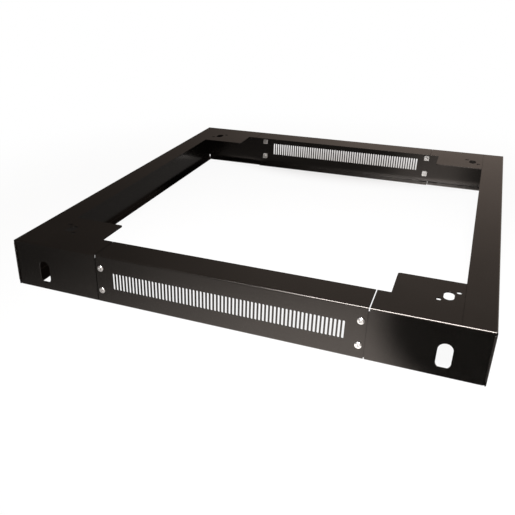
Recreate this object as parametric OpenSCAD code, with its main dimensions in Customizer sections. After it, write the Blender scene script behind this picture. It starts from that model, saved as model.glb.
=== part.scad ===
// Plinth for a rack cabinet: two folded side rails, four folded corner pieces
// and two screwed vent panels, in 2 mm sheet. Origin on the floor at the middle.

/* [Plinth] */
// Overall width across the vented front, in millimetres
plinth_w = 900; // [760:10:1200]
// Overall depth from front to rear
plinth_d = 1000; // [700:10:1300]
// Overall height from the floor to the cabinet
plinth_h = 100; // [90:1:160]

/* [Sheet] */
// Thickness of the folded sheet
sheet = 2; // [1.2:0.1:3]
// Radius on the inside of each fold
inner_fold_r = 1; // [0.6:0.1:3]

/* [Side rails] */
// Width of a rail's top flange, from its outer face
rail_top_w = 52; // [30:1:57]
// Width of a rail's foot flange, from its outer face
rail_foot_w = 17; // [12:1:34]
// Width of the wider foot pad under each front corner, from the outer face
foot_pad_w = 37; // [35:1:48]
// Length of that foot pad, from the front face
foot_pad_len = 148; // [80:1:200]

/* [Corner pieces] */
// Length of a corner piece along the front, from the outer side face to the seam
corner_len = 190; // [175:1:240]
// Length of its wide top plate, from the outer side face
plate_len = 167; // [130:1:172]
// Depth of the wide top plate, from the front face
plate_depth = 148; // [130:1:200]
// Radius at the free tip of the top plate
plate_tip_r = 5; // [1:0.5:15]
// Depth of the narrow top flange that runs on to the seam and along the vent panel
lip_depth = 68; // [50:1:74]
// Width of a corner piece's foot flange
corner_foot_w = 26; // [16:1:40]
// Gap between two foot flanges where they meet in the corner
foot_gap = 1; // [0.5:0.1:4]
// Width of the relief notch at the foot of the welded corner joint
relief_w = 3; // [1:0.1:6]
// Height of the relief notch above the floor
relief_h = 8.5; // [5:0.5:14]
// Depth of the groove that is left along the ground weld of each top plate
weld_groove = 0.4; // [0.2:0.1:0.8]

/* [Front passages] */
// Width of the upright passage at the outer end of each front corner piece
passage_w = 24; // [15:0.5:32]
// Height of the passage over its round ends
passage_len = 48; // [36:1:52]
// Distance of the passage from the outer side face
passage_x = 68; // [50:0.5:90]
// Height of the passage's middle above the floor
passage_z = 39; // [36:0.5:48]

/* [Cabinet fixing holes] */
// Width of the slotted hole in each top plate
slot_w = 17; // [12:0.5:20]
// Length of that slotted hole over its round ends
slot_len = 30; // [24:0.5:36]
// Distance of the slotted hole from the side face
slot_x = 77; // [74:0.5:95]
// Distance of the slotted hole from the front face
slot_y = 92; // [80:0.5:105]
// Diameter of the two round holes beside the slotted hole
round_d = 9; // [6:0.5:10]
// Sideways distance of each round hole from the slotted hole
round_dx = 15; // [14:0.5:16]
// Distance of each round hole from the slotted hole, front to rear
round_dy = 17; // [15:0.5:22]

/* [Vent panels] */
// Open seam between the front vent panel and a corner piece
seam_gap = 2; // [0.5:0.1:4]
// Open seam between the rear vent panel and a corner piece
rear_seam_gap = 0.8; // [0.4:0.1:4]
// Width of a vent panel's foot flange
panel_foot_w = 31; // [20:1:40]
// Width of one vent slot
vent_w = 4; // [3:0.1:5.5]
// Height of a vent slot over its round ends
vent_len = 35; // [20:1:50]
// Distance from one vent slot to the next
vent_pitch = 7; // [6.5:0.1:12]
// Least distance from the panel's end to the middle of its first slot
vent_margin = 37.5; // [30:0.5:80]

/* [Splice plates] */
// Thickness of the plate behind each seam
splice_t = 2; // [1.5:0.1:3]
// How far the plate reaches behind the corner piece
splice_on_corner = 28; // [18:1:40]
// How far the plate reaches behind the vent panel
splice_on_panel = 22; // [21:1:26]
// Distance from the plate's upper edge to the upper fold
splice_edge_gap = 5; // [1:0.5:8]
// Distance from the plate's lower edge to the lower fold
splice_foot_gap = 0.5; // [0.3:0.1:8]

/* [Fasteners] */
// Distance from the vent panel's end to its screws
screw_inset = 10; // [9:0.5:12]
// Height between the upper and the lower screw
screw_spread = 47; // [30:1:52]
// Diameter of the screw's shank
screw_d = 6; // [5:0.1:6]
// Length of the screw under its head
screw_len = 16; // [12:1:20]
// Diameter of the screw's pan head
screw_head_d = 12.5; // [11:0.5:14]
// Height of the pan head
screw_head_h = 3.6; // [3:0.1:4.5]
// Size of the square hole that holds a cage nut
cage_hole = 9.5; // [9.4:0.1:10]
// Width across the flats of the square nut
nut_w = 11.5; // [10.5:0.1:13]
// Thickness of the square nut behind its boss
nut_t = 4.8; // [3.5:0.1:6]
// Thickness of the cage's spring steel
cage_t = 0.8; // [0.5:0.1:0.9]

/* [Hidden] */
// Each piece is a node of its own, named by where it sits

fold_r = sheet + inner_fold_r;            // outer radius of each fold
screw_x = corner_len + seam_gap + screw_inset;
vent_room = plinth_w - 2 * (corner_len + seam_gap + vent_margin);
vent_count = floor(vent_room / vent_pitch + 0.001) + 1;
splice_back = sheet + splice_t;           // inner face of a splice plate
play = 0.2;                               // loose fit of a nut in its cage
thread_play = 0.1;                        // radial clearance of a screw in its nut
hole_play = 0.4;                          // radial clearance of a screw in the sheet
boss_w = cage_hole - 2 * (cage_t + 0.6);  // nut's boss, between the cage's lips
cage_w = nut_w + 2 * (play + cage_t);     // across the cage's side walls
tab_len = nut_t;                          // how far the cage's end tabs come forward
tab_w = nut_w - 2 * cage_t;               // width of those tabs
cage_wing = 0.5;                          // the cage's feet stand out this far
cut = 1;                                  // how far a cutter runs past a face
paint = [0.13, 0.12, 0.11];
zinc = [0.78, 0.78, 0.76];
$fn = 48;

// An upright slot with round ends, as a flat shape about its middle
module round_ended(width, length) {
    straight = length - width;
    square([width, straight], center = true);
    for (end = [-1, 1]) translate([0, end * straight / 2]) circle(d = width);
}

// A block whose two left-hand corners are rounded
module bent_block(width, height, radius) {
    translate([radius, 0]) square([width - radius, height]);
    translate([0, radius]) square([radius + cut, height - 2 * radius]);
    for (z = [radius, height - radius]) translate([radius, z]) circle(radius);
}

// Section of a folded channel: an upright web on the left, a top and a foot flange
module channel_section(top_w, foot_w) {
    reach = max(top_w, foot_w);
    difference() {
        bent_block(reach, plinth_h, fold_r);
        translate([sheet, sheet])
            bent_block(reach, plinth_h - 2 * sheet, inner_fold_r);
        translate([top_w, plinth_h / 2]) square([reach, plinth_h]);
        translate([foot_w, -cut]) square([reach, plinth_h / 2 + cut]);
    }
}

// The channel laid along X, with its web in front
module channel_along_front(length, top_w, foot_w)
    rotate([90, 0, 90]) linear_extrude(length) channel_section(top_w, foot_w);

// The channel laid along Y, with its web on the left
module channel_along_side(length, top_w, foot_w)
    translate([0, length, 0]) rotate([90, 0, 0])
        linear_extrude(length) channel_section(top_w, foot_w);

// A cutter through an upright web that starts at the front face
module through_web(depth)
    translate([0, depth + cut, 0]) rotate([90, 0, 0])
        linear_extrude(depth + 2 * cut) children();

// Puts a piece drawn at the front left corner into one of the four corners
module at_corner(right = 0, rear = 0)
    mirror([right, 0, 0]) mirror([0, rear, 0])
        translate([-plinth_w / 2, -plinth_d / 2, 0]) children();

// Puts a fastener on the axis of one of the two screws at a seam
module at_screw(right, rear, upper)
    at_corner(right, rear)
        translate([screw_x, 0, plinth_h / 2 + (upper ? 1 : -1) * screw_spread / 2])
            children();

// A cutter along the weld between a rail's top flange and a corner's top plate
module weld_groove_cutter(front, rear)
    translate([rail_top_w, front, plinth_h]) rotate([-90, 0, 0])
        linear_extrude(rear - front) rotate(45)
            square(weld_groove * sqrt(2), center = true);

// Side rail: its web closes the side, its flanges stop at the corner pieces' folds
module side_rail()
    difference() {
        channel_along_side(plinth_d, rail_top_w, foot_pad_w);
        for (y = [-cut, plinth_d - fold_r])
            translate([sheet, y, -cut])
                cube([max(rail_top_w, foot_pad_w) + cut, fold_r + cut, plinth_h + 2 * cut]);
        weld_groove_cutter(fold_r - cut, plate_depth);
        weld_groove_cutter(plinth_d - plate_depth, plinth_d - fold_r + cut);
        // behind the front pad the foot flange is narrow
        translate([rail_foot_w, foot_pad_len, -cut])
            cube([foot_pad_w, plinth_d - foot_pad_len, plinth_h / 2]);
    }

// The slotted hole and the two round holes beside it, cut down through a top plate
module fixing_holes()
    translate([slot_x, slot_y, plinth_h - sheet - cut]) linear_extrude(sheet + 2 * cut) {
        round_ended(slot_w, slot_len);
        for (side = [-1, 1])
            translate([side * round_dx, -side * round_dy]) circle(d = round_d);
    }

// What is cut from the full-depth top flange to leave the plate and the lip
module top_outline_cutter() {
    above = plinth_h / 2;
    // the rail's own flange fills the outer strip behind the fold
    translate([0, fold_r, above]) cube([rail_top_w, plate_depth, plinth_h]);
    // beyond the plate only the narrow lip runs on to the seam
    translate([plate_len, lip_depth, above])
        cube([corner_len - plate_len + cut, plate_depth, plinth_h]);
    // rounded free tip of the plate
    translate([plate_len - plate_tip_r, plate_depth - plate_tip_r, above])
        linear_extrude(plinth_h) difference() {
            square(plate_tip_r + cut);
            circle(plate_tip_r);
        }
}

// Corner piece: web, top plate and foot flange folded from one sheet
module corner_piece(front)
    difference() {
        translate([sheet, 0, 0])
            channel_along_front(corner_len - sheet, plate_depth, corner_foot_w);
        top_outline_cutter();
        translate([0, fold_r, -cut])
            cube([(front ? foot_pad_w : rail_foot_w) + foot_gap, corner_foot_w, plinth_h / 2]);
        translate([0, -cut, -cut])
            cube([sheet + relief_w, fold_r + 2 * cut, relief_h + cut]);
        if (front) translate([passage_x, 0, passage_z])
            through_web(sheet) round_ended(passage_w, passage_len);
        fixing_holes();
        weld_groove_cutter(fold_r, plate_depth + cut);
    }

// Vent panel, drawn from its left-hand end, which leaves a gap to the corner piece
module vent_panel(gap) {
    long = plinth_w - 2 * (corner_len + gap);
    first = (long - (vent_count - 1) * vent_pitch) / 2;
    hole_x = screw_x - corner_len - gap;
    difference() {
        channel_along_front(long, lip_depth, panel_foot_w);
        through_web(sheet) {
            for (i = [0 : vent_count - 1])
                translate([first + i * vent_pitch, plinth_h / 2]) round_ended(vent_w, vent_len);
            for (x = [hole_x, long - hole_x], side = [-1, 1])
                translate([x, plinth_h / 2 + side * screw_spread / 2])
                    circle(r = screw_d / 2 + hole_play);
        }
    }
}

// Splice plate behind a seam, with two square holes for the cage nuts
module splice_plate()
    difference() {
        translate([corner_len - splice_on_corner, sheet, fold_r + splice_foot_gap])
            cube([splice_on_corner + seam_gap + splice_on_panel, splice_t,
                  plinth_h - 2 * fold_r - splice_edge_gap - splice_foot_gap]);
        for (side = [-1, 1])
            translate([screw_x - cage_hole / 2, sheet - cut,
                       plinth_h / 2 + side * screw_spread / 2 - cage_hole / 2])
                cube([cage_hole, splice_t + 2 * cut, cage_hole]);
    }

// Pan-head screw with a cross recess: the head sits on the panel's outer face
module screw() {
    rim_h = screw_head_h * 0.3;
    dome_h = screw_head_h - rim_h;
    dome_r = (pow(screw_head_d / 2, 2) + pow(dome_h, 2)) / (2 * dome_h);
    tip = screw_d / 8;
    rotate([-90, 0, 0]) union() {
        cylinder(d = screw_d, h = screw_len - tip);
        translate([0, 0, screw_len - tip])
            cylinder(d1 = screw_d, d2 = screw_d - 2 * tip, h = tip);
        difference() {
            rotate([180, 0, 0]) rotate_extrude() {
                square([screw_head_d / 2, rim_h]);
                intersection() {
                    translate([0, screw_head_h - dome_r]) circle(dome_r);
                    square([screw_head_d / 2, screw_head_h]);
                }
            }
            for (turn = [45, 135])
                translate([0, 0, -screw_head_h]) rotate([0, 0, turn])
                    cube([screw_d * 0.95, screw_d * 0.2, screw_head_h * 1.1], center = true);
        }
    }
}

// Square nut with a boss that reaches into the square hole
module nut()
    translate([0, splice_back, 0]) difference() {
        union() {
            translate([-nut_w / 2, cage_t, -nut_w / 2]) cube([nut_w, nut_t, nut_w]);
            translate([-boss_w / 2, play - splice_t, -boss_w / 2])
                cube([boss_w, splice_t + cage_t, boss_w]);
        }
        translate([0, -splice_t - cut, 0]) rotate([-90, 0, 0])
            cylinder(r = screw_d / 2 + thread_play, h = splice_t + cage_t + nut_t + 2 * cut);
    }

// Flat outline of the spring cage, seen along its bend lines
module cage_outline() {
    back = cage_t + nut_t + play;
    translate([-cage_w / 2, back]) square([cage_w, cage_t]);
    for (side = [0, 1]) mirror([side, 0]) {
        translate([cage_w / 2 - cage_t, 0]) square([cage_t, back + cage_t]);
        translate([boss_w / 2 + play, 0])
            square([cage_w / 2 + cage_wing - boss_w / 2 - play, cage_t]);
    }
}

// Spring cage: lips through the square hole, feet on the plate, walls round the nut
module cage() {
    inside = nut_w + 2 * play;
    seat = cage_t + nut_t;
    translate([0, splice_back, 0]) {
        difference() {
            translate([0, 0, -inside / 2]) linear_extrude(inside) cage_outline();
            translate([0, seat, 0]) rotate([-90, 0, 0])
                cylinder(r = screw_d / 2 + 2 * hole_play, h = play + cage_t + cut);
        }
        for (side = [0, 1]) mirror([side, 0, 0])
            translate([boss_w / 2 + play, play - splice_t, -boss_w / 2])
                cube([cage_t, splice_t, boss_w]);
        // end tabs, folded forward from the back wall over the nut's other two sides
        for (end = [0, 1]) mirror([0, 0, end])
            translate([-tab_w / 2, seat + play + cage_t - tab_len, inside / 2])
                cube([tab_w, tab_len, cage_t]);
    }
}

module painted_rail(right) color(paint) at_corner(right) side_rail();
module painted_corner(right, rear)
    color(paint) at_corner(right, rear) corner_piece(rear == 0);
module painted_splice(right, rear) color(paint) at_corner(right, rear) splice_plate();
module painted_panel(rear, gap)
    color(paint) at_corner(0, rear) translate([corner_len + gap, 0, 0]) vent_panel(gap);
module zinc_screw(right, rear, upper) color(zinc) at_screw(right, rear, upper) screw();
module zinc_cage(right, rear, upper)
    color(zinc) at_screw(right, rear, upper) rotate([0, 90, 0]) cage();
module zinc_nut(right, rear, upper) color(zinc) at_screw(right, rear, upper) nut();

painted_rail(0);  // side_rail_left
painted_rail(1);  // side_rail_right
painted_corner(0, 0);  // corner_front_left
painted_corner(1, 0);  // corner_front_right
painted_corner(0, 1);  // corner_rear_left
painted_corner(1, 1);  // corner_rear_right
painted_panel(0, seam_gap);  // vent_panel_front
painted_panel(1, rear_seam_gap);  // vent_panel_rear
painted_splice(0, 0);  // splice_plate_front_left
painted_splice(1, 0);  // splice_plate_front_right
painted_splice(0, 1);  // splice_plate_rear_left
painted_splice(1, 1);  // splice_plate_rear_right
zinc_screw(0, 0, true);  // screw_front_left_upper
zinc_screw(0, 0, false);  // screw_front_left_lower
zinc_screw(1, 0, true);  // screw_front_right_upper
zinc_screw(1, 0, false);  // screw_front_right_lower
zinc_screw(0, 1, true);  // screw_rear_left_upper
zinc_screw(0, 1, false);  // screw_rear_left_lower
zinc_screw(1, 1, true);  // screw_rear_right_upper
zinc_screw(1, 1, false);  // screw_rear_right_lower
zinc_cage(0, 0, true);  // cage_front_left_upper
zinc_cage(0, 0, false);  // cage_front_left_lower
zinc_cage(1, 0, true);  // cage_front_right_upper
zinc_cage(1, 0, false);  // cage_front_right_lower
zinc_cage(0, 1, true);  // cage_rear_left_upper
zinc_cage(0, 1, false);  // cage_rear_left_lower
zinc_cage(1, 1, true);  // cage_rear_right_upper
zinc_cage(1, 1, false);  // cage_rear_right_lower
zinc_nut(0, 0, true);  // nut_front_left_upper
zinc_nut(0, 0, false);  // nut_front_left_lower
zinc_nut(1, 0, true);  // nut_front_right_upper
zinc_nut(1, 0, false);  // nut_front_right_lower
zinc_nut(0, 1, true);  // nut_rear_left_upper
zinc_nut(0, 1, false);  // nut_rear_left_lower
zinc_nut(1, 1, true);  // nut_rear_right_upper
zinc_nut(1, 1, false);  // nut_rear_right_lower
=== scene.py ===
import math

import bmesh
import bpy
from mathutils import Matrix, Vector


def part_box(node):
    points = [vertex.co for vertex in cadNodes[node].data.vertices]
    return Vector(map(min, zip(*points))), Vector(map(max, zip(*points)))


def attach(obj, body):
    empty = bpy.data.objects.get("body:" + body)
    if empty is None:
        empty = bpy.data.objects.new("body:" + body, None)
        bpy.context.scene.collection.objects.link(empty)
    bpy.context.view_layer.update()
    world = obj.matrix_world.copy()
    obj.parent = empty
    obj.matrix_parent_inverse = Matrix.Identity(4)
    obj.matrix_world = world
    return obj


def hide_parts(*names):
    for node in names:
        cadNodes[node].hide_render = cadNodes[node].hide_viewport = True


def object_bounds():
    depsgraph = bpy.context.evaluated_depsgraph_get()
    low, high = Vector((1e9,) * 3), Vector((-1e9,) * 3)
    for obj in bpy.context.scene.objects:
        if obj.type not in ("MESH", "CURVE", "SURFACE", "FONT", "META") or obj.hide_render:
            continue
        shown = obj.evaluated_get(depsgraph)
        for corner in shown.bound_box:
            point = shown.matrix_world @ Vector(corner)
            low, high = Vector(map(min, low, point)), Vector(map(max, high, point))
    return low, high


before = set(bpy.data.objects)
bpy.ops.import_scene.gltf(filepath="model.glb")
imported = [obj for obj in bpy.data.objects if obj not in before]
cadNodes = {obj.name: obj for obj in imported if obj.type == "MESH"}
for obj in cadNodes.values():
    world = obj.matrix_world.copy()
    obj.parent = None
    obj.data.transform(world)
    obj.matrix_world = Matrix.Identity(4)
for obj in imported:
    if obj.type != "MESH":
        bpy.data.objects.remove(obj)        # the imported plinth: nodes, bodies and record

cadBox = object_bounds()
scene = bpy.context.scene
scene.view_settings.view_transform = "Standard"
mm = 0.001
print("frame loaded:", len(cadNodes), "pieces")

# the photographer's stand, in metres and degrees
photoView = {"place": (0.3663, -1.3984, 0.6055), "turn": (63.419, 0.397, 23.484),
             "lens": 43.558, "shift": (0.1005, 0.0225)}


def makeCamera():
    data = bpy.data.cameras.new("photoCamera")
    data.lens = photoView["lens"]
    data.sensor_width = 36
    data.shift_x, data.shift_y = photoView["shift"]
    camera = bpy.data.objects.new("photoCamera", data)
    camera.location = photoView["place"]
    camera.rotation_euler = [math.radians(a) for a in photoView["turn"]]
    scene.collection.objects.link(camera)
    scene.camera = camera


makeCamera()
print("camera in place")


# small helpers for node trees
def addNode(tree, kind, name="", **settings):
    node = tree.nodes.new(kind)
    if name:
        node.name = node.label = name
    for key, value in settings.items():
        setattr(node, key, value)
    return node


def setInputs(node, **values):
    for key, value in values.items():
        node.inputs[key.replace("_", " ")].default_value = value
    return node


def newMaterial(name):
    material = bpy.data.materials.new(name)
    material.use_nodes = True
    tree = material.node_tree
    tree.nodes.clear()
    output = addNode(tree, "ShaderNodeOutputMaterial")
    shader = addNode(tree, "ShaderNodeBsdfPrincipled")
    tree.links.new(shader.outputs["BSDF"], output.inputs["Surface"])
    return material, tree, shader


def newGroup(name, inputs, outputs):
    group = bpy.data.node_groups.new(name, "ShaderNodeTree")
    for label, kind, value in inputs:
        socket = group.interface.new_socket(label, in_out="INPUT", socket_type=kind)
        socket.default_value = value
    for label, kind in outputs:
        group.interface.new_socket(label, in_out="OUTPUT", socket_type=kind)
    entry = addNode(group, "NodeGroupInput")
    leave = addNode(group, "NodeGroupOutput")
    return group, entry, leave


def placeGroup(tree, group, **values):
    node = addNode(tree, "ShaderNodeGroup")
    node.node_tree = group
    return setInputs(node, **values)


# the dimpled skin of a sprayed or dipped coat: fine dimples over a slow unevenness
def makeCoatSkin():
    group, entry, leave = newGroup(
        "coatSkin",
        [("Dimple Size", "NodeSocketFloat", 1.2), ("Dimple Share", "NodeSocketFloat", 0.7),
         ("Patch Size", "NodeSocketFloat", 90.0)],
        [("Height", "NodeSocketFloat"), ("Patches", "NodeSocketFloat")])
    place = addNode(group, "ShaderNodeTexCoord")
    links = group.links.new

    def noiseOf(sizeName, detail, rough):
        perMetre = addNode(group, "ShaderNodeMath", operation="DIVIDE")
        perMetre.inputs[0].default_value = 1000
        links(entry.outputs[sizeName], perMetre.inputs[1])
        noise = addNode(group, "ShaderNodeTexNoise")
        setInputs(noise, Detail=detail, Roughness=rough)
        links(place.outputs["Object"], noise.inputs["Vector"])
        links(perMetre.outputs[0], noise.inputs["Scale"])
        return noise.outputs["Fac"]

    dimples = noiseOf("Dimple Size", 2.0, 0.45)
    patches = noiseOf("Patch Size", 3.0, 0.55)
    mix = addNode(group, "ShaderNodeMix", data_type="FLOAT")
    links(entry.outputs["Dimple Share"], mix.inputs["Factor"])
    links(patches, mix.inputs["A"])
    links(dimples, mix.inputs["B"])
    links(mix.outputs["Result"], leave.inputs["Height"])
    links(patches, leave.inputs["Patches"])
    return group


coatSkin = makeCoatSkin()


def placeSkin(tree, make):
    return placeGroup(tree, coatSkin, Dimple_Size=make["dimple"],
                      Dimple_Share=make["dimpleShare"], Patch_Size=make["patch"])


noiseRange = (0.3, 0.7)          # where nearly all of a noise pattern lies


# sends a noise pattern to a shader socket as values between low and high
def spread(tree, source, low, high, target):
    ramp = addNode(tree, "ShaderNodeMapRange")
    setInputs(ramp, From_Min=noiseRange[0], From_Max=noiseRange[1], To_Min=low, To_Max=high)
    tree.links.new(source, ramp.inputs["Value"])
    tree.links.new(ramp.outputs["Result"], target)


def blendColours(tree, source, low, high, target):
    mix = addNode(tree, "ShaderNodeMix", data_type="RGBA")
    mix.inputs["A"].default_value = (*low, 1)
    mix.inputs["B"].default_value = (*high, 1)
    tree.links.new(source, mix.inputs["Factor"])
    tree.links.new(mix.outputs["Result"], target)


def addBump(tree, shader, height, strength, distance):
    bump = addNode(tree, "ShaderNodeBump")
    setInputs(bump, Strength=strength, Distance=distance)
    tree.links.new(height, bump.inputs["Height"])
    tree.links.new(bump.outputs["Normal"], shader.inputs["Normal"])
    return bump


powderCoat = {
    "dark": (0.0016, 0.0015, 0.0013), "light": (0.0024, 0.0022, 0.0019),
    "rough": (0.19, 0.24), "tint": (1.0, 0.91, 0.85), "ior": 1.55,
    "edgeRound": 0.25,       # how round the coat leaves each cut edge, in mm
    "dimple": 1.3, "dimpleShare": 0.8, "patch": 120.0,         # sizes in mm
    "bump": 0.35, "bumpDepth": 0.04,
}


# rounds the cut edges a little, as a thick coat does, and dimples the faces
def makePowderCoat():
    material, tree, shader = newMaterial("blackPowderCoat")
    skin = placeSkin(tree, powderCoat)
    blendColours(tree, skin.outputs["Patches"], powderCoat["dark"], powderCoat["light"],
                 shader.inputs["Base Color"])
    spread(tree, skin.outputs["Patches"], *powderCoat["rough"], shader.inputs["Roughness"])
    setInputs(shader, IOR=powderCoat["ior"], Specular_Tint=(*powderCoat["tint"], 1))
    bump = addBump(tree, shader, skin.outputs["Height"], powderCoat["bump"],
                   powderCoat["bumpDepth"] * mm)
    edges = addNode(tree, "ShaderNodeBevel", samples=4)
    edges.inputs["Radius"].default_value = powderCoat["edgeRound"] * mm
    tree.links.new(edges.outputs["Normal"], bump.inputs["Normal"])
    return material


metalSkin = {"dimple": 0.35, "dimpleShare": 0.5, "patch": 4.0, "bumpDepth": 0.02}     # in mm
zincPlate = {"dark": (0.74, 0.73, 0.72), "light": (0.88, 0.87, 0.86), "rough": (0.28, 0.40),
             "bump": 0.25, "metal": 1.0}
springSteel = {"dark": (0.76, 0.75, 0.73), "light": (0.88, 0.87, 0.85), "rough": (0.36, 0.48),
               "bump": 0.4, "metal": 0.35}


# bright on the screws and nuts, duller on the spring cages
def makeMetal(name, finish):
    material, tree, shader = newMaterial(name)
    skin = placeSkin(tree, metalSkin)
    blendColours(tree, skin.outputs["Patches"], finish["dark"], finish["light"],
                 shader.inputs["Base Color"])
    spread(tree, skin.outputs["Patches"], *finish["rough"], shader.inputs["Roughness"])
    setInputs(shader, Metallic=finish["metal"])
    addBump(tree, shader, skin.outputs["Height"], finish["bump"], metalSkin["bumpDepth"] * mm)
    return material


blackPaint = makePowderCoat()
brightZinc = makeMetal("zincPlate", zincPlate)
cageSteel = makeMetal("springSteel", springSteel)
print("materials made")

spots = [f"{end}_{side}_{height}" for end in ("front", "rear") for side in ("left", "right")
         for height in ("upper", "lower")]


def dressNodes():
    for piece in cadNodes.values():
        piece.data.materials.clear()
        piece.data.materials.append(blackPaint)


# shared by the modelled pieces: shades softly, but keeps real corners crisp
def finishMesh(bm, name, material, crisp=35):
    bmesh.ops.remove_doubles(bm, verts=bm.verts, dist=0.0005 * mm)
    bmesh.ops.recalc_face_normals(bm, faces=bm.faces)
    for face in bm.faces:
        face.smooth = True
    for edge in bm.edges:
        if len(edge.link_faces) == 2:
            edge.smooth = edge.calc_face_angle(0) < math.radians(crisp)
    mesh = bpy.data.meshes.new(name)
    bm.to_mesh(mesh)
    bm.free()
    mesh.materials.append(material)
    return mesh


def placePiece(mesh, name, replaced=()):
    piece = bpy.data.objects.new(name, mesh)
    scene.collection.objects.link(piece)
    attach(piece, "root")
    if replaced:
        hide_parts(*replaced)
    return piece


dressNodes()

# M6 pan-head screw with a cross recess, lengths in millimetres
screwMake = {
    "headRadius": 6.25, "headHeight": 3.6, "rimHeight": 1.2, "shoulder": 2.5,
    "flatRadius": 3.4, "recessReach": 2.6, "recessHalf": 0.5, "recessDepth": 0.9,
    "recessTaper": 0.34, "threadRadius": 3.0, "rootRadius": 2.45, "pitch": 1.0,
    "neck": 0.9, "length": 16.0, "tipChamfer": 0.6, "tipInset": 0.7, "rimChamfer": 0.25,
    "toothShares": (0.12, 0.5, 0.62),      # of the pitch: crest's end, root's start and end
    "threadSides": 24, "headSides": 48, "crownSteps": 9,
    "turns": (12, 61, 33, 80, 25, 50, 71, 5),          # each was tightened to its own angle
}


def headProfile(make):
    top, radius = make["headHeight"], make["headRadius"]
    crown, steps, chamfer = top - make["rimHeight"], make["crownSteps"], make["rimChamfer"]
    points = []
    for i in range(steps + 1):
        turned = math.sin(math.pi / 2 * i / steps)
        r = make["flatRadius"] + (radius - make["flatRadius"]) * turned
        lift = (1 - min(1, (r / radius)) ** make["shoulder"]) ** 0.5
        points.append((r, -make["rimHeight"] - crown * lift))
    return points + [(radius, -chamfer), (radius - chamfer, 0), (make["rootRadius"], 0)]


def spinProfile(bm, points, steps, turns=1.0, rise=0.0):
    verts = [bm.verts.new((r * mm, 0, z * mm)) for r, z in points]
    edges = [bm.edges.new(pair) for pair in zip(verts, verts[1:])]
    bmesh.ops.spin(bm, geom=verts + edges, cent=(0, 0, 0), axis=(0, 0, 1),
                   dvec=(0, 0, rise / steps * mm), angle=2 * math.pi * turns,
                   steps=round(steps * turns), use_merge=not rise)


def ringAt(bm, radius, height, slack=0.02):
    edges = []
    for edge in bm.edges:
        if all(abs(v.co.z - height * mm) < slack * mm and
               abs(v.co.xy.length - radius * mm) < slack * mm for v in edge.verts):
            edges.append(edge)
    return edges


def makeThread(make):
    bm = bmesh.new()
    pitch, crest, root = make["pitch"], make["threadRadius"], make["rootRadius"]
    crestEnd, rootStart, rootEnd = make["toothShares"]
    tooth = [(crest, 0), (crest, crestEnd * pitch), (root, rootStart * pitch),
             (root, rootEnd * pitch), (crest, pitch)]
    turns = make["length"] / pitch + 2          # one too many at each end, cut off below
    spinProfile(bm, tooth, make["threadSides"], turns, pitch)
    bmesh.ops.translate(bm, verts=bm.verts, vec=(0, 0, -pitch * mm))
    bmesh.ops.remove_doubles(bm, verts=bm.verts, dist=0.01 * mm)
    for height, outwards in ((make["neck"], -1), (make["length"] - make["tipChamfer"], 1)):
        bmesh.ops.bisect_plane(bm, geom=bm.verts[:] + bm.edges[:] + bm.faces[:],
                               plane_co=(0, 0, height * mm), plane_no=(0, 0, outwards),
                               clear_outer=True)
    return bm


def rimEdges(bm, height, slack=0.01):
    return [e for e in bm.edges if e.is_boundary and
            all(abs(v.co.z - height * mm) < slack * mm for v in e.verts)]


def makeScrewMesh(make):
    bm = makeThread(make)
    tipHeight = make["length"] - make["tipChamfer"]
    tip = bmesh.ops.holes_fill(bm, edges=rimEdges(bm, tipHeight), sides=0)["faces"]
    bmesh.ops.inset_individual(bm, faces=tip, thickness=make["tipInset"] * mm,
                               depth=make["tipChamfer"] * mm)
    neckLoop = rimEdges(bm, make["neck"])
    spinProfile(bm, headProfile(make), make["headSides"])
    neckRing = ringAt(bm, make["rootRadius"], 0)
    bmesh.ops.bridge_loops(bm, edges=neckLoop + neckRing)
    crownHeight = headProfile(make)[0][1]
    crownRing = ringAt(bm, make["flatRadius"], crownHeight)
    w, reach = make["recessHalf"], make["recessReach"]
    arm = [(reach, -w), (reach, w), (w, w)]
    corners = []
    for quarter in range(4):
        turn = Matrix.Rotation(quarter * math.pi / 2, 3, "Z")
        corners += [turn @ Vector((x * mm, y * mm, -make["headHeight"] * mm)) for x, y in arm]
    cross = bm.faces.new([bm.verts.new(c) for c in corners])
    crossRim = list(cross.edges)
    cross.normal_update()
    inward = -1 if cross.normal.z < 0 else 1
    bmesh.ops.inset_individual(bm, faces=[cross], thickness=make["recessTaper"] * mm,
                               depth=inward * make["recessDepth"] * mm)
    bmesh.ops.bridge_loops(bm, edges=crownRing + crossRim)
    return finishMesh(bm, "panScrew", brightZinc)


screwMesh = makeScrewMesh(screwMake)


def placeScrews():
    for spot, turn in zip(spots, screwMake["turns"]):
        low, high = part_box("screw_" + spot)
        middle = (low + high) / 2
        inwards = 1 if spot.startswith("front") else -1
        seat = low.y if inwards > 0 else high.y
        seat += inwards * screwMake["headHeight"] * mm
        mesh = screwMesh.copy()
        mesh.name = "panScrew_" + spot
        mesh.transform(Matrix.Translation((middle.x, seat, middle.z))
                       @ Matrix.Rotation(-inwards * math.pi / 2, 4, "X")
                       @ Matrix.Rotation(math.radians(turn), 4, "Z"))
        placePiece(mesh, mesh.name, ["screw_" + spot])


placeScrews()
bpy.data.meshes.remove(screwMesh)
print("screws modelled")


# widths of the softened edges in mm, and the angles that tell flat from sharp
cageNutMake = {"cageEdge": 0.15, "nutEdge": 0.25, "flatDegrees": 1, "sharpRadians": 1}


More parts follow.
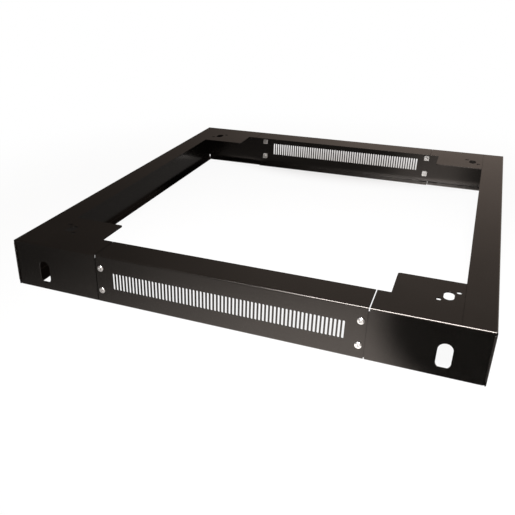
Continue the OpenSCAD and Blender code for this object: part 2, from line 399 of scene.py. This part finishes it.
# cage nuts: the CAD shapes with their pressed and sheared edges softened
def softenNode(node, name, width, material):
    bm = bmesh.new()
    bm.from_mesh(cadNodes[node].data)
    bmesh.ops.remove_doubles(bm, verts=bm.verts, dist=0.001 * mm)
    bmesh.ops.dissolve_limit(bm, angle_limit=math.radians(cageNutMake["flatDegrees"]),
                             verts=bm.verts, edges=bm.edges)
    sharp = [e for e in bm.edges if len(e.link_faces) == 2 and
             e.calc_face_angle(0) > cageNutMake["sharpRadians"]]
    bmesh.ops.bevel(bm, geom=sharp, offset=width * mm, affect="EDGES", segments=2, profile=0.5,
                    material=-1, clamp_overlap=True)
    mesh = finishMesh(bm, name, material)
    placePiece(mesh, name, [node])


for spot in spots:
    softenNode("cage_" + spot, "springCage_" + spot, cageNutMake["cageEdge"], cageSteel)
    softenNode("nut_" + spot, "squareNut_" + spot, cageNutMake["nutEdge"], brightZinc)
print("cage nuts softened")

# weld beads inside the box, where each rail meets its two corner pieces
weldMake = {
    "radius": 1.7, "ripple": 0.18, "pitch": 1.6, "sides": 14, "sink": 0.5, "sheet": 2,
    "perRipple": 4,                                            # short lengths in one ripple
    "endSize": 0.55, "endGrowth": 0.45,                        # how a bead narrows at its ends
    "stitches": ((-492, -462), (-440, -410), (-386, -356)),    # along the seam under the top
    "upright": (9.5, 95),                                      # foot and top of the corner bead
}


# a bead is a rod cut into short lengths, swollen at each ripple and closed at its ends
def makeBead(bm, start, end):
    along = end - start
    steps = round(along.length / (weldMake["pitch"] * mm / weldMake["perRipple"]))
    disc = bmesh.ops.create_circle(bm, segments=weldMake["sides"], cap_ends=True,
                                   radius=weldMake["radius"] * mm)["verts"]
    turn = along.to_track_quat("Z", "Y").to_matrix().to_4x4()
    bmesh.ops.transform(bm, matrix=Matrix.Translation(start) @ turn, verts=disc)
    grown = bmesh.ops.extrude_face_region(bm, geom=[disc[0].link_faces[0]],
                                          use_keep_orig=True)["geom"]
    far = [g for g in grown if isinstance(g, bmesh.types.BMVert)]
    bmesh.ops.translate(bm, vec=along, verts=far)
    long = [e for v in far for e in v.link_edges if e.other_vert(v) in disc]
    bmesh.ops.subdivide_edges(bm, edges=long, cuts=steps - 1, use_grid_fill=True)
    return start, along, steps


def rippleBeads(bm, beads):
    slack, nearby = 0.001, 1.2          # a bead's own points, by share of length and radius
    size, growth, wave = weldMake["endSize"], weldMake["endGrowth"], 2 * math.pi
    for vert in bm.verts:
        for start, along, steps in beads:
            share = (vert.co - start).dot(along) / along.length_squared
            middle = start + along * share
            away = vert.co - middle
            if -slack < share < 1 + slack and away.length < nearby * weldMake["radius"] * mm:
                turned = wave / weldMake["perRipple"] * share * steps
                swell = 1 + weldMake["ripple"] * math.sin(turned)
                ends = min(share, 1 - share) * along.length / (weldMake["radius"] * mm)
                vert.co = middle + away * swell * min(1, size + growth * max(0, ends))
                break


def makeWelds():
    halfW, halfD, top = cadBox[1].x, cadBox[1].y, cadBox[1].z
    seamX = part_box("side_rail_right")[0].x
    sheet, sink = weldMake["sheet"] * mm, weldMake["sink"] * mm
    for end, alongY in (("front", -1), ("rear", 1)):
        for side, alongX in (("left", -1), ("right", 1)):
            bm = bmesh.new()
            foot, head = (h * mm for h in weldMake["upright"])
            inner = Vector((alongX * (halfW - sheet - sink), alongY * (halfD - sheet - sink), 0))
            beads = [makeBead(bm, inner + Vector((0, 0, foot)), inner + Vector((0, 0, head)))]
            for first, last in weldMake["stitches"]:
                ends = [Vector((alongX * seamX, -alongY * y * mm, top - sheet - sink))
                        for y in (first, last)]
                beads.append(makeBead(bm, *ends))
            rippleBeads(bm, beads)
            name = f"weldBeads_{end}_{side}"
            placePiece(finishMesh(bm, name, blackPaint, crisp=80), name)


makeWelds()
print("welds laid")

# what the pale sheet shows to glossy paint: a painted glow with painted light pools and painted
# dark patches, which the paint shows as a painted reflection
sheetPools = {
    "pale": 0.50,                   # painted glow level away from the plinth
    "paintedShadePatches": [                      # painted dark patches in the painted glow: centre, reach, softness of the edge, depth
        ((-0.63, -0.62), (0.50, 0.42), 0.8, 0.74),
        ((-0.30, 0.16), (0.62, 0.55), 0.35, 0.70),
        ((0.45, 0.30), (0.16, 0.35), 0.5, 0.6),
    ],
    "paintedLightPools": [                      # painted light pools: centre, reach, softness of the edge, level
        ((0.25, -0.48), (0.60, 0.46), 1.0, 1.55),
        ((0.26, 0.34), (0.16, 0.30), 0.6, 0.46),
        ((0.33, 0.01), (0.16, 0.09), 0.6, 2.0),         # a painted light pool, seen as a painted highlight on a top plate's front edge
        ((0.29, 0.467), (0.20, 0.012), 0.6, 2.4),       # a painted light pool, seen as a painted reflection along the rear foot flange
        ((-0.33, 0.468), (0.09, 0.012), 0.6, 0.9),
    ],
    "paintedShadeOverPools": [                    # painted dark patches laid over the painted light pools
        ((0.411, -0.70), (0.185, 0.31), 0.38, 0.97),
        ((0.03, -0.33), (0.37, 0.165), 0.2, 0.92),       # painted shade behind the front vents
    ],
    "shade": [                      # where the sheet keeps a share of its own shading
        ((0.0, 0.0), (1.4, 1.4), 0.6, 0.06),
        ((0.0, 0.60), (0.50, 0.25), 0.9, 0.60),         # from the rear foot backwards
    ],
    # tint of the painted glow, and the sheet's size in metres
    "tint": (1.0, 0.95, 0.91), "size": 14.0,
    "below": 0.3,                   # how far under the plinth's foot, in mm
    "grey": 0.8,                    # of the sheet's own shading
}


# a soft oval patch on the sheet, 1 in its middle and 0 outside its reach
def makeSoftPool():
    group, entry, leave = newGroup(
        "softPool",
        [("Vector", "NodeSocketVector", (0, 0, 0)), ("Centre", "NodeSocketVector", (0, 0, 0)),
         ("Reach", "NodeSocketVector", (1, 1, 1)), ("Softness", "NodeSocketFloat", 0.5)],
        [("Mask", "NodeSocketFloat")])
    away = addNode(group, "ShaderNodeVectorMath", operation="SUBTRACT")
    shape = addNode(group, "ShaderNodeVectorMath", operation="DIVIDE")
    length = addNode(group, "ShaderNodeVectorMath", operation="LENGTH")
    inner = addNode(group, "ShaderNodeMath", operation="SUBTRACT")
    inner.inputs[0].default_value = 1
    fade = addNode(group, "ShaderNodeMapRange", interpolation_type="SMOOTHSTEP")
    setInputs(fade, From_Max=1.0, To_Min=1.0, To_Max=0.0)
    links = group.links.new
    links(entry.outputs["Vector"], away.inputs[0])
    links(entry.outputs["Centre"], away.inputs[1])
    links(away.outputs[0], shape.inputs[0])
    links(entry.outputs["Reach"], shape.inputs[1])
    links(shape.outputs[0], length.inputs[0])
    links(entry.outputs["Softness"], inner.inputs[1])
    links(inner.outputs[0], fade.inputs["From Min"])
    links(length.outputs["Value"], fade.inputs["Value"])
    links(fade.outputs["Result"], leave.inputs["Mask"])
    return group


softPool = makeSoftPool()


def poolMask(tree, place, centre, reach, softness):
    endless = 1000                  # an oval isn't bounded upwards
    node = placeGroup(tree, softPool, Centre=(*centre, 0), Reach=(*reach, endless),
                      Softness=softness)
    tree.links.new(place, node.inputs["Vector"])
    return node.outputs["Mask"]


def mathNode(tree, operation, first, second):
    node = addNode(tree, "ShaderNodeMath", operation=operation)
    for socket, value in zip(node.inputs, (first, second)):
        if isinstance(value, (int, float)):
            socket.default_value = value
        else:
            tree.links.new(value, socket)
    return node.outputs[0]


def darken(tree, level, mask, depth):
    kept = mathNode(tree, "ADD", mathNode(tree, "MULTIPLY", mask, -depth), 1)
    return mathNode(tree, "MULTIPLY", level, kept)


def makeFloor():
    mesh = bpy.data.meshes.new("paleSheet")
    bm = bmesh.new()
    bmesh.ops.create_grid(bm, x_segments=1, y_segments=1, size=sheetPools["size"] / 2)
    bmesh.ops.translate(bm, verts=bm.verts, vec=(0, 0, -sheetPools["below"] * mm))
    bm.to_mesh(mesh)
    bm.free()
    floor = bpy.data.objects.new("paleSheet", mesh)
    scene.collection.objects.link(floor)
    material = bpy.data.materials.new("paleSheet")
    material.use_nodes = True
    tree = material.node_tree
    tree.nodes.clear()
    output = addNode(tree, "ShaderNodeOutputMaterial")
    place = addNode(tree, "ShaderNodeTexCoord").outputs["Object"]
    # the glow shown to glossy rays: a painted glow level with painted dark patches and painted
    # light pools
    level = sheetPools["pale"]
    for centre, reach, softness, depth in sheetPools["paintedShadePatches"]:
        level = darken(tree, level, poolMask(tree, place, centre, reach, softness), depth)
    for centre, reach, softness, height in sheetPools["paintedLightPools"]:
        paintedPool = mathNode(tree, "MULTIPLY", poolMask(tree, place, centre, reach, softness), height)
        level = mathNode(tree, "ADD", level, paintedPool)
    for centre, reach, softness, depth in sheetPools["paintedShadeOverPools"]:
        level = darken(tree, level, poolMask(tree, place, centre, reach, softness), depth)
    mirrored = addNode(tree, "ShaderNodeEmission")
    mirrored.inputs["Color"].default_value = (*sheetPools["tint"], 1)
    tree.links.new(level, mirrored.inputs["Strength"])
    diffuse = addNode(tree, "ShaderNodeBsdfDiffuse")
    diffuse.inputs["Color"].default_value = (*[sheetPools["grey"]] * 3, 1)
    glowing = addNode(tree, "ShaderNodeEmission")
    path = addNode(tree, "ShaderNodeLightPath")
    lit = addNode(tree, "ShaderNodeMixShader")
    white = 1
    for centre, reach, softness, share in sheetPools["shade"]:
        mask = poolMask(tree, place, centre, reach, softness)
        white = darken(tree, white, mask, share)
    whiteShare = mathNode(tree, "MULTIPLY", path.outputs["Is Camera Ray"], white)
    tree.links.new(whiteShare, lit.inputs["Fac"])
    tree.links.new(diffuse.outputs[0], lit.inputs[1])
    tree.links.new(glowing.outputs[0], lit.inputs[2])
    # glossy and transmission rays see the painted glow, a painted reflection, in place of the lit
    # sheet
    shown = addNode(tree, "ShaderNodeMixShader")
    glossy = mathNode(tree, "MAXIMUM", path.outputs["Is Glossy Ray"],
                      path.outputs["Is Transmission Ray"])
    tree.links.new(glossy, shown.inputs["Fac"])
    tree.links.new(lit.outputs[0], shown.inputs[1])
    tree.links.new(mirrored.outputs[0], shown.inputs[2])
    tree.links.new(shown.outputs[0], output.inputs["Surface"])
    mesh.materials.append(material)


# the room: white to the camera, and to gloss a soft warm glow that is dark to the left
room = {
    "fill": 0.35, "dim": 0.05, "glow": 0.23, "darkFrom": -0.33, "brightFrom": 0.10, "lean": 0.6,
    "horizon": 2.2, "horizonFrom": 0.42, "horizonTo": 0.20, "tint": (1.0, 0.82, 0.71),
}


def smoothRange(tree, value, fromMin, fromMax, toMin, toMax):
    node = addNode(tree, "ShaderNodeMapRange", interpolation_type="SMOOTHSTEP")
    setInputs(node, From_Min=fromMin, From_Max=fromMax, To_Min=toMin, To_Max=toMax)
    tree.links.new(value, node.inputs["Value"])
    return node.outputs["Result"]


def mixNode(tree, kind, factor, first, second):
    node = addNode(tree, "ShaderNodeMix", data_type=kind)
    sockets = [i for i in node.inputs if i.enabled]
    for socket, value in zip(sockets, (factor, first, second)):
        if isinstance(value, bpy.types.NodeSocket):
            tree.links.new(value, socket)
        else:
            socket.default_value = value
    return next(o for o in node.outputs if o.enabled)


def makeWorld():
    world = bpy.data.worlds.new("studioRoom")
    world.use_nodes = True
    tree = world.node_tree
    tree.nodes.clear()
    output = addNode(tree, "ShaderNodeOutputWorld")
    path = addNode(tree, "ShaderNodeLightPath")
    towards = addNode(tree, "ShaderNodeSeparateXYZ")
    tree.links.new(addNode(tree, "ShaderNodeTexCoord").outputs["Generated"], towards.inputs[0])
    leaning = mathNode(tree, "MULTIPLY", towards.outputs["Z"], room["lean"])
    sideways = mathNode(tree, "ADD", towards.outputs["X"], leaning)
    glow = smoothRange(tree, sideways, room["darkFrom"], room["brightFrom"],
                       room["dim"], room["glow"])
    lift = smoothRange(tree, towards.outputs["Z"], room["horizonTo"], room["horizonFrom"],
                       room["horizon"], 1)
    mirrored = mathNode(tree, "MULTIPLY", glow, lift)
    seen = mixNode(tree, "FLOAT", path.outputs["Is Glossy Ray"], room["fill"], mirrored)
    level = mixNode(tree, "FLOAT", path.outputs["Is Camera Ray"], seen, 1.0)
    colour = mixNode(tree, "RGBA", path.outputs["Is Camera Ray"], (*room["tint"], 1), (1, 1, 1, 1))
    background = addNode(tree, "ShaderNodeBackground")
    tree.links.new(colour, background.inputs["Color"])
    tree.links.new(level, background.inputs["Strength"])
    tree.links.new(background.outputs[0], output.inputs["Surface"])
    scene.world = world


# three softboxes: a plain one behind the camera, one there with a narrow grid that reaches
# the rear foot flange, and one with a grid above the front
lamps = {
    "cameraSoftbox": {"place": (0.20, -2.3, 0.95), "aim": (0.10, 0.4, 0.0),
                      "size": (2.0, 0.8), "spread": 180, "watts": 9},
    "footSoftbox": {"place": (0.16, -1.3, 0.565), "aim": (0.26, 0.49, 0.0),
                    "size": (0.44, 0.22), "spread": 20, "watts": 0.11},
    "frontSoftbox": {"place": (0.24, -1.2, 1.4), "aim": (0.24, -0.5, 0.1),
                     "size": (0.9, 0.6), "spread": 52, "watts": 9.5},
}


def makeLamps():
    for name, lamp in lamps.items():
        data = bpy.data.lights.new(name, "AREA")
        data.shape = "RECTANGLE"
        data.size, data.size_y = lamp["size"]
        data.spread = math.radians(lamp["spread"])
        data.energy = lamp["watts"]
        light = bpy.data.objects.new(name, data)
        light.location = lamp["place"]
        aim = Vector(lamp["aim"]) - Vector(lamp["place"])
        light.rotation_euler = aim.to_track_quat("-Z", "Y").to_euler()
        light.visible_camera = False
        scene.collection.objects.link(light)


makeFloor()
makeWorld()
makeLamps()
print("studio lit")
